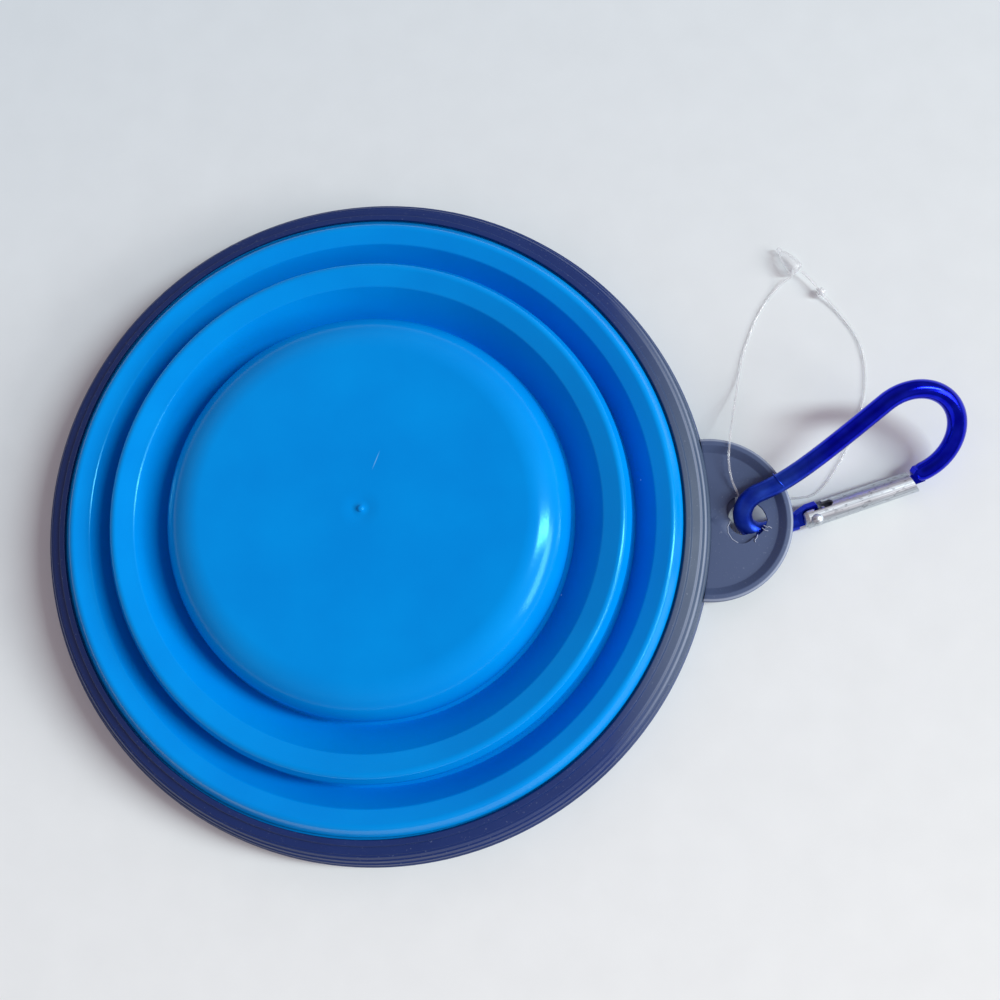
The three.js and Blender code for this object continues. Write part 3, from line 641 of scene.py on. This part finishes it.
def collar():
    """Outer ridge: a ledge, a close crest, a leaning side and a foot that the two rim rings hold."""
    upper, lower = ledge_joint(OUTER_CREASE, COLLAR_CREST)
    piece = turned("soft_collar", rounded([
        (*upper, 0), (*COLLAR_CREST, CREST_FILLET), (59.95, 12.1, 1.3), (60.1, 11.3, 0.2),
        (60.75, 11.1, 0.1), (60.75, 5.4, 0.1), (62.4, 5.4, 0.2), (62.4, 3.9, 0.2), (60.2, 3.9, 0.2),
        (60.2, 0.6, 0.5), (58.5, 0.6, 0.5), (58.5, 12.2, 0.5), (*lower, 0),
    ], ring=True, steps=8), ring=True)
    smooth(piece, angle=40)
    finish_piece(piece, RUBBER, "rim", "rubber_blue", "outer_collar")


def fold_web(name, crest, crease, valley, node_name):
    """A thin web from a ridge's ledge over a crease to a valley, cut fine along its outline."""
    upper, lower = ledge_joint(crease, crest)
    points = rounded([
        (*upper, 0), (*crease, CREASE_FILLET), (*valley, 0), (*web_foot(crease, valley), 0),
        (crease[0] + WEB * 0.45, crease[1] - WEB, CREASE_FILLET), (*lower, 0),
    ], ring=True, steps=7)
    spacing = 0.5
    dense = []
    for (r0, z0), (r1, z1) in zip(points, points[1:] + points[:1]):
        steps = max(1, round(math.hypot(r1 - r0, z1 - z0) / spacing))
        dense += [(r0 + (r1 - r0) * i / steps, z0 + (z1 - z0) * i / steps) for i in range(steps)]
    piece = turned(name, dense, ring=True)
    smooth(piece, angle=40)
    finish_piece(piece, RUBBER, None, "rubber_blue", node_name)
    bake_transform(piece)


def middle_ridge():
    """Ridge between the two folds: a ledge, a close crest, a steep side and a foot under the outer web."""
    upper, lower = ledge_joint(INNER_CREASE, MIDDLE_CREST)
    piece = turned("soft_middle_ridge", rounded([
        (*upper, 0), (*MIDDLE_CREST, CREST_FILLET), (50.25, 15.0, 2.0), (50.5, 11.0, 0.5),
        (50.5, 8.9, 0.4), (*OUTER_VALLEY, 0), (*web_foot(OUTER_CREASE, OUTER_VALLEY), 0),
        (51.5, 6.4, 0.7), (49.3, 6.4, 0.8), (48.8, 7.4, 0.5), (48.8, 15.4, 0.5), (*lower, 0),
    ], ring=True, steps=8), ring=True)
    smooth(piece, angle=40)
    finish_piece(piece, RUBBER, "middle", "rubber_blue", "middle_band")


def base_disc():
    """Base with the moulding mark at its centre: a small pip in a shallow dimple."""
    pip = [(0, 21.85), (0.3, 21.83), (0.55, 21.7), (0.7, 21.45), (1.1, 21.32), (1.8, 21.36), (2.6, 21.47)]
    flat = [(4.0, BASE_TOP), (12.0, BASE_TOP), (22.0, BASE_TOP)]
    edge = arc(BASE_EDGE, BASE_EDGE_RADIUS, start=90, end=0, steps=24)
    foot = rounded([
        (BASE_RADIUS, BASE_EDGE[1], 0), (BASE_RADIUS, 10.9, 0.4), (*INNER_VALLEY, 0),
        (*web_foot(INNER_CREASE, INNER_VALLEY), 0), (39.9, 8.4, 0.7), (37.7, 8.4, 0.8), (37.1, 9.4, 0.5),
        (36.9, BASE_EDGE[1], 0),
    ], ring=False)
    inside = arc(BASE_EDGE, BASE_INNER_RADIUS, start=0, end=90, steps=10)
    underside = [(15.0, BASE_UNDERSIDE), (0, BASE_UNDERSIDE)]
    piece = turned("soft_base", pip + flat + edge + foot[1:] + inside[1:] + underside)
    smooth(piece, angle=40)
    finish_piece(piece, RUBBER, "base", "rubber_blue", "base_cup")


collar()
fold_web("soft_outer_web", COLLAR_CREST, OUTER_CREASE, OUTER_VALLEY, "outer_fold")
middle_ridge()
fold_web("soft_inner_web", MIDDLE_CREST, INNER_CREASE, INNER_VALLEY, "inner_fold")
base_disc()


# Rim: an upper ring with a flat face and a flared side, on a lower ring with the ear

EAR_LOW = 4.75
EAR_WEB_TOP = 5.6
# Top of a sheet of painted shade across the heart's lobes
SHADE_SHEET_TOP = 5.0


def upper_ring():
    """Clamp ring: a face that falls a little outwards, a small lip inside it and stepped beads outside."""
    piece = turned("rim_upper_ring", rounded([
        (60.8, 5.7, 0.1), (60.8, 11.5, 0), (60.4, 11.7, 0.05), (60.4, 12.2, 0.2), (61.5, 12.0, 0.3),
        (61.8, 11.15, 0.25), (63.25, 10.8, 0.15), (63.4, 10.5, 0.08), (63.7, 10.5, 0.25),
        (64.15, 9.75, 0.25), (64.25, 9.3, 0.08), (64.6, 9.15, 0.2), (65.0, 8.0, 0.2), (65.1, 7.55, 0.08),
        (65.45, 7.3, 0.2), (65.75, 6.2, 0.2), (65.6, 5.7, 0.1),
    ], ring=True), ring=True)
    smooth(piece, angle=60)
    finish_piece(piece, RING_PLASTIC, "rim", "rim_grey", "clamp_ring")


def heart_outline():
    """Heart of two lobes and two full sides, its point away from the bowl."""
    lobe = 2.75
    offset = 1.9
    length = 7.85
    fullness = 1.3
    side_steps = 8
    tip = HEART_X - lobe + length
    cusp = math.degrees(math.atan2(-offset, -math.sqrt(lobe ** 2 - offset ** 2)))
    far = math.hypot(offset, tip - HEART_X)
    tangent = math.degrees(math.atan2(-offset, tip - HEART_X) + math.acos(lobe / far))
    upper = arc((HEART_X, offset), lobe, start=cusp + 360, end=tangent, steps=24)
    start, end = Vector(upper[-1]), Vector((tip, 0))
    out = Vector((math.cos(math.radians(tangent)), math.sin(math.radians(tangent)))) * fullness
    middle = (start + end) / 2 + out
    for k in range(1, side_steps + 1):
        share = k / side_steps
        rest = 1 - share
        upper.append(tuple(start * rest ** 2 + middle * 2 * share * rest + end * share ** 2))
    lower = [(x, -y) for x, y in reversed(upper[1:-1])]
    return upper + lower


def shade_film():
    """A thin sheet left across the heart's lobes, clear of the rod as it swings, where under the ear there
    is only shade: painted shade.
    """
    shade_sheet = prism("shade_sheet", [
        (60, -10), (74.5, -10), (74.5, -1), (70.6, -1), (70.6, 10), (60, 10),
    ], low=-1, high=SHADE_SHEET_TOP)
    room, squash = 3.1, 0.9
    rod_room = turned("rod_room", [(0, -3), (room, -3), (room, 11), (0, 11)], sides=48)
    at_axis = Matrix.Translation((SWING_AXIS[0] * MM, SWING_AXIS[1] * MM, 0))
    place(rod_room, at_axis @ Matrix.Diagonal((squash, 1, 1, 1)))
    combine(shade_sheet, rod_room, "DIFFERENCE")
    return shade_sheet


def lower_ring():
    """Frame: a ring with a groove for the soft foot, and the ear, a thin web in a raised bead."""
    ring = turned("rim_lower_ring", rounded([
        (60.8, 0, 0.8), (66.2, 0, 0.8), (66.2, 5.4, 0.5), (62.7, 5.4, 0.2), (62.7, 3.6, 0.1),
        (60.8, 3.6, 0.2),
    ], ring=True), ring=True)
    ear = turned("ear", rounded([
        (0, EAR_LOW, 0), (EAR_RADIUS, EAR_LOW, 0.4), (EAR_RADIUS, 6.5, 0.6), (14.7, 6.65, 0.4),
        (13.3, EAR_WEB_TOP, 0.3), (0, EAR_WEB_TOP, 0),
    ], ring=False), sides=128)
    place(ear, Matrix.Translation((EAR_X * MM, 0, 0)))
    # The cut's faces lie off the rings' own, so that the join comes out the same in every run
    bowl_side = turned("bowl_side", [
        (0, 0), (63.2, 0), (63.2, 5.15), (65.85, 5.15), (65.85, 12), (0, 12),
    ])
    combine(ear, bowl_side, "DIFFERENCE")
    hole = prism("hole", heart_outline(), low=0, high=8)
    # The heart is cut through only where the rod swings; elsewhere its lobes keep a sheet as painted shade
    combine(hole, shade_film(), "DIFFERENCE")
    combine(ear, hole, "DIFFERENCE")
    combine(ring, ear, "UNION")
    break_edges(ring, width=0.12, angle=50)
    smooth(ring, angle=40)
    finish_piece(ring, EAR_PLASTIC, "rim", "rim_grey", "rim_frame")


def hole_flash():
    """Hairs of moulding flash at the point of the hole and along its lower lobe."""
    thick, thin = 0.2, 0.18
    hairs = [
        [(75.9, -1.1, 5.55), (76.5, -1.5, 5.72), (76.9, -1.35, 5.7), (77.4, -1.7, 5.66)],
        [(75.6, -1.6, 5.55), (76.1, -2.1, 5.72), (76.7, -2.2, 5.66)],
        [(74.7, -2.9, 5.55), (74.5, -3.5, 5.75), (74.1, -4.0, 5.72), (74.2, -4.4, 5.66)],
        [(69.5, -0.4, 5.58), (69.0, -1.3, 5.62), (69.05, -2.5, 5.62), (69.8, -3.8, 5.6),
         (70.9, -4.5, 5.58)],
    ]
    flash = tube("hole_flash", hairs[0], thick, roundness=2)
    to_mesh(flash)
    for points in hairs[1:]:
        hair = tube("hair", points, thin, roundness=2)
        to_mesh(hair)
        combine(flash, hair, "UNION")
    smooth(flash, angle=60)
    finish_piece(flash, FLASH, "rim", "rim_grey")


upper_ring()
lower_ring()
hole_flash()


# Snap hook: a bent rod with a flat tongue at each end, and a sprung gate

ROD_DIAMETER = 3.7
NOSE_TAPER = (0.62, 0.88, 0.97)
BIG_LOOP = (21.4, 10.7)
BIG_LOOP_RADIUS = 9.2
SMALL_LOOP = (-9.1, 4.5)
SMALL_LOOP_RADIUS = 4.5
# From a turned piece's own axis to the gate's length, and to the bore, which lies off the gate's axis
TO_GATE = Euler((0, math.pi / 2, 0)).to_matrix().to_4x4()
BORE_OFFSET = 0.4
TO_BORE = Matrix.Translation((0, BORE_OFFSET * MM, 0))


def rod_points():
    """Centre line of the rod, from the nose round the big loop, down the spine and round the small loop."""
    spine, leg = math.radians(25.5), math.radians(4)
    spine_reach, leg_reach = 17, 6
    steps = 40
    points = arc(BIG_LOOP, BIG_LOOP_RADIUS, start=-91.5, end=115.5, steps=60)
    end = Vector(points[-1])
    start = Vector((
        SMALL_LOOP[0] - SMALL_LOOP_RADIUS * math.sin(leg),
        SMALL_LOOP[1] + SMALL_LOOP_RADIUS * math.cos(leg),
    ))
    spine_pull = end - spine_reach * Vector((math.cos(spine), math.sin(spine)))
    leg_pull = start + leg_reach * Vector((math.cos(leg), math.sin(leg)))
    for k in range(1, steps):
        share = k / steps
        rest = 1 - share
        points.append(tuple(
            end * rest ** 3 + spine_pull * 3 * rest * rest * share
            + leg_pull * 3 * rest * share * share + start * share ** 3
        ))
    points += arc(SMALL_LOOP, SMALL_LOOP_RADIUS, start=94, end=270, steps=36)
    points += [(-7.5, 0), (-5.5, 0), (-3.5, 0)]
    return [(u, v, 0) for u, v in points]


def hook_rod():
    """Rod with a tapered nose, a heel that the gate straddles, a nose tongue and a thin seam ring."""
    rod = tube("hook_rod", rod_points(), ROD_DIAMETER, roundness=14)
    for point, share in zip(rod.data.splines[0].points, NOSE_TAPER):
        point.radius = share
    to_mesh(rod)
    heel = prism("heel", rounded([
        (-5.4, -1.2, 0), (0.3, -1.2, 0.9), (1.2, 0.2, 0.6), (0.9, 2.6, 0.2), (-1.2, 2.6, 0.4),
        (-3.5, 1.7, 0.4), (-5.4, 1.2, 0),
    ], ring=True), low=-0.7, high=0.7)
    combine(rod, heel, "UNION")
    nose = prism("nose", rounded([
        (19.4, -0.3, 0.3), (22.6, -0.2, 0), (22.6, 2.9, 0), (21.1, 2.9, 0.3), (20.45, 2.1, 0.3),
        (20.55, 0.9, 0.1), (19.4, 0.9, 0.3),
    ], ring=True), low=-0.9, high=0.9)
    combine(rod, nose, "UNION")
    seam = turned("seam", [
        (1.6, -0.08), (1.86, -0.08), (1.92, 0), (1.86, 0.08), (1.6, 0.08),
    ], ring=True, sides=48)
    place(seam, standing((-5.2, 10.1, 0), Vector((0.9026, 0.4305, 0))))
    combine(rod, seam, "UNION")
    break_edges(rod, width=0.2, angle=40, segments=3)
    place(rod, HOOK_PLACE)
    smooth(rod, angle=40)
    finish_piece(rod, HOOK_BLUE, "hook", "anodised_blue", "carabiner_hook")


def gate_bar():
    """Gate: a tapered bar with a fork, a slanted and slotted tip, a window for the pin and a bore."""
    clear = 6
    tip_at = 20.4
    tip_slant = math.atan2(1.5, 4.3)
    window_turn = math.radians(18 - 90)
    bar = turned("hook_gate", rounded([
        (0, -2.2, 0), (1.9, -2.2, 0.5), (2.3, -1.4, 0.5), (2.15, 23.0, 0), (0, 23.0, 0),
    ], ring=False), sides=64)
    place(bar, TO_GATE)
    tip = block("tip", (0, -clear, -clear), (20, clear, clear))
    place(tip, Matrix.Translation((tip_at * MM, 0, 0)) @ Euler((0, 0, tip_slant)).to_matrix().to_4x4())
    combine(bar, tip, "DIFFERENCE")
    combine(bar, block("fork", (-clear, -clear, -1.0), (2.1, clear, 1.0)), "DIFFERENCE")
    window = prism("window", [
        (0, -0.8), (3.5, -0.8), (4.05, -0.3), (4.05, 0.3), (3.5, 0.8), (0, 0.8),
    ], low=-1.15, high=clear)
    place(window, Euler((window_turn, 0, 0)).to_matrix().to_4x4())
    combine(bar, window, "DIFFERENCE")
    combine(bar, block("tip_slot", (18.4, -clear, -1.1), (30, 1.2, 1.1)), "DIFFERENCE")
    combine(bar, block("lower_cheek", (-clear, -clear, -clear), (2.5, clear, -1.8)), "DIFFERENCE")
    bore = turned("bore", [(0, 1.2), (1.25, 1.2), (1.25, 12.0), (0, 12.0)], sides=32)
    place(bore, TO_BORE @ TO_GATE)
    combine(bar, bore, "DIFFERENCE")
    break_edges(bar, width=0.12, angle=40)
    place(bar, HOOK_PLACE)
    smooth(bar, angle=40)
    finish_piece(bar, GATE_METAL, "gate", "bare_aluminium", "carabiner_gate")


def pivot_rivet():
    """Rivet through the fork: a full dome on the upper side, a flat one underneath."""
    shank, top, bottom = 0.75, 1.8, -1.95
    full, low = 0.85, 0.4
    upper = [(r, top + (z - top) * full) for r, z in arc((0, top), 1.35, start=0, end=90, steps=8)]
    lower = [(r, bottom + (z - bottom) * low) for r, z in arc((0, bottom), 1.25, start=-90, end=0, steps=8)]
    rivet = turned("gate_pivot_rivet", lower + [(shank, bottom), (shank, top)] + upper, sides=64)
    place(rivet, HOOK_PLACE)
    smooth(rivet, angle=45, keep_flat=False)
    finish_piece(rivet, RIVET_METAL, "hook", "bare_aluminium", "gate_rivet")


def push_pin():
    """Pin in the bore, with a broad head that shows in the window."""
    pin = turned("gate_push_pin", rounded([
        (0, 1.75, 0), (0.9, 1.75, 0.4), (0.9, 2.4, 0.1), (0.35, 2.4, 0), (0.35, 8.0, 0.1), (0, 8.0, 0),
    ], ring=False), sides=24)
    place(pin, HOOK_PLACE @ TO_BORE @ TO_GATE)
    smooth(pin, angle=45)
    finish_piece(pin, STEEL, "gate", "spring_steel", "gate_plunger")


def gate_coil():
    """Coil spring round the pin's stem."""
    turns, per_turn = 9, 20
    first, pitch, radius, wire = 4.3, 0.8, 0.8, 0.3
    coil = []
    for i in range(turns * per_turn + 1):
        angle = 2 * math.pi * i / per_turn
        along = first + pitch * i / per_turn
        coil.append((along, BORE_OFFSET + radius * math.cos(angle), radius * math.sin(angle)))
    spring = tube("gate_coil_spring", coil, wire, roundness=2)
    to_mesh(spring)
    place(spring, HOOK_PLACE)
    smooth(spring, angle=60)
    finish_piece(spring, STEEL, "gate", "spring_steel", "gate_spring")


hook_rod()
gate_bar()
pivot_rivet()
push_pin()
gate_coil()


# Table and light: a pale board, one soft window from the right, a lower one beside it and an even room

def table():
    """Board under the bowl, part of the stage and not of the object."""
    deselect()
    bpy.ops.mesh.primitive_plane_add(size=4)
    board = bpy.context.object
    board.name = "table"
    bpy.ops.object.mode_set(mode="EDIT")
    bpy.ops.mesh.subdivide(number_cuts=3)
    bpy.ops.object.mode_set(mode="OBJECT")
    board.data.materials.append(table_top())


def window_light(name, towards, distance, width, height, power, colour):
    """A soft window of a size in metres, aimed at the bowl from a direction."""
    data = bpy.data.lights.new(name, "AREA")
    data.shape = "RECTANGLE"
    data.size = width
    data.size_y = height
    data.energy = power
    data.color = colour
    light = bpy.data.objects.new(name, data)
    scene.collection.objects.link(light)
    direction = Vector(towards).normalized()
    light.location = direction * distance
    light.rotation_euler = direction.to_track_quat("Z", "Y").to_euler()


table()
window_light("window", towards=(0.73, 0.05, 0.68), distance=5.0, width=0.67, height=2.25,
             power=178, colour=(0.88, 0.98, 1.0))
window_light("low_window", towards=(0.89, -0.19, 0.41), distance=4.0, width=2.1, height=1.0,
             power=72, colour=(1.0, 0.96, 0.94))
world = bpy.data.worlds.new("room")
world.use_nodes = True
sky = world.node_tree
around = node(sky, "ShaderNodeTexCoord").outputs["Generated"]
height = node(sky, "ShaderNodeSeparateXYZ", links={"Vector": around}).outputs["Z"]
room = node(sky, "ShaderNodeValToRGB", {"stops": [
    (0.0, linear("#9fb0c2")), (0.3, linear("#b4bac6")), (0.5, linear("#eed6de")), (0.85, linear("#d6c2c8")),
    (1.0, linear("#ac9fa4")),
]}, {"Fac": height})
sky.links.new(room.outputs["Color"], sky.nodes["Background"].inputs["Color"])
sky.nodes["Background"].inputs["Strength"].default_value = 0.59
scene.world = world
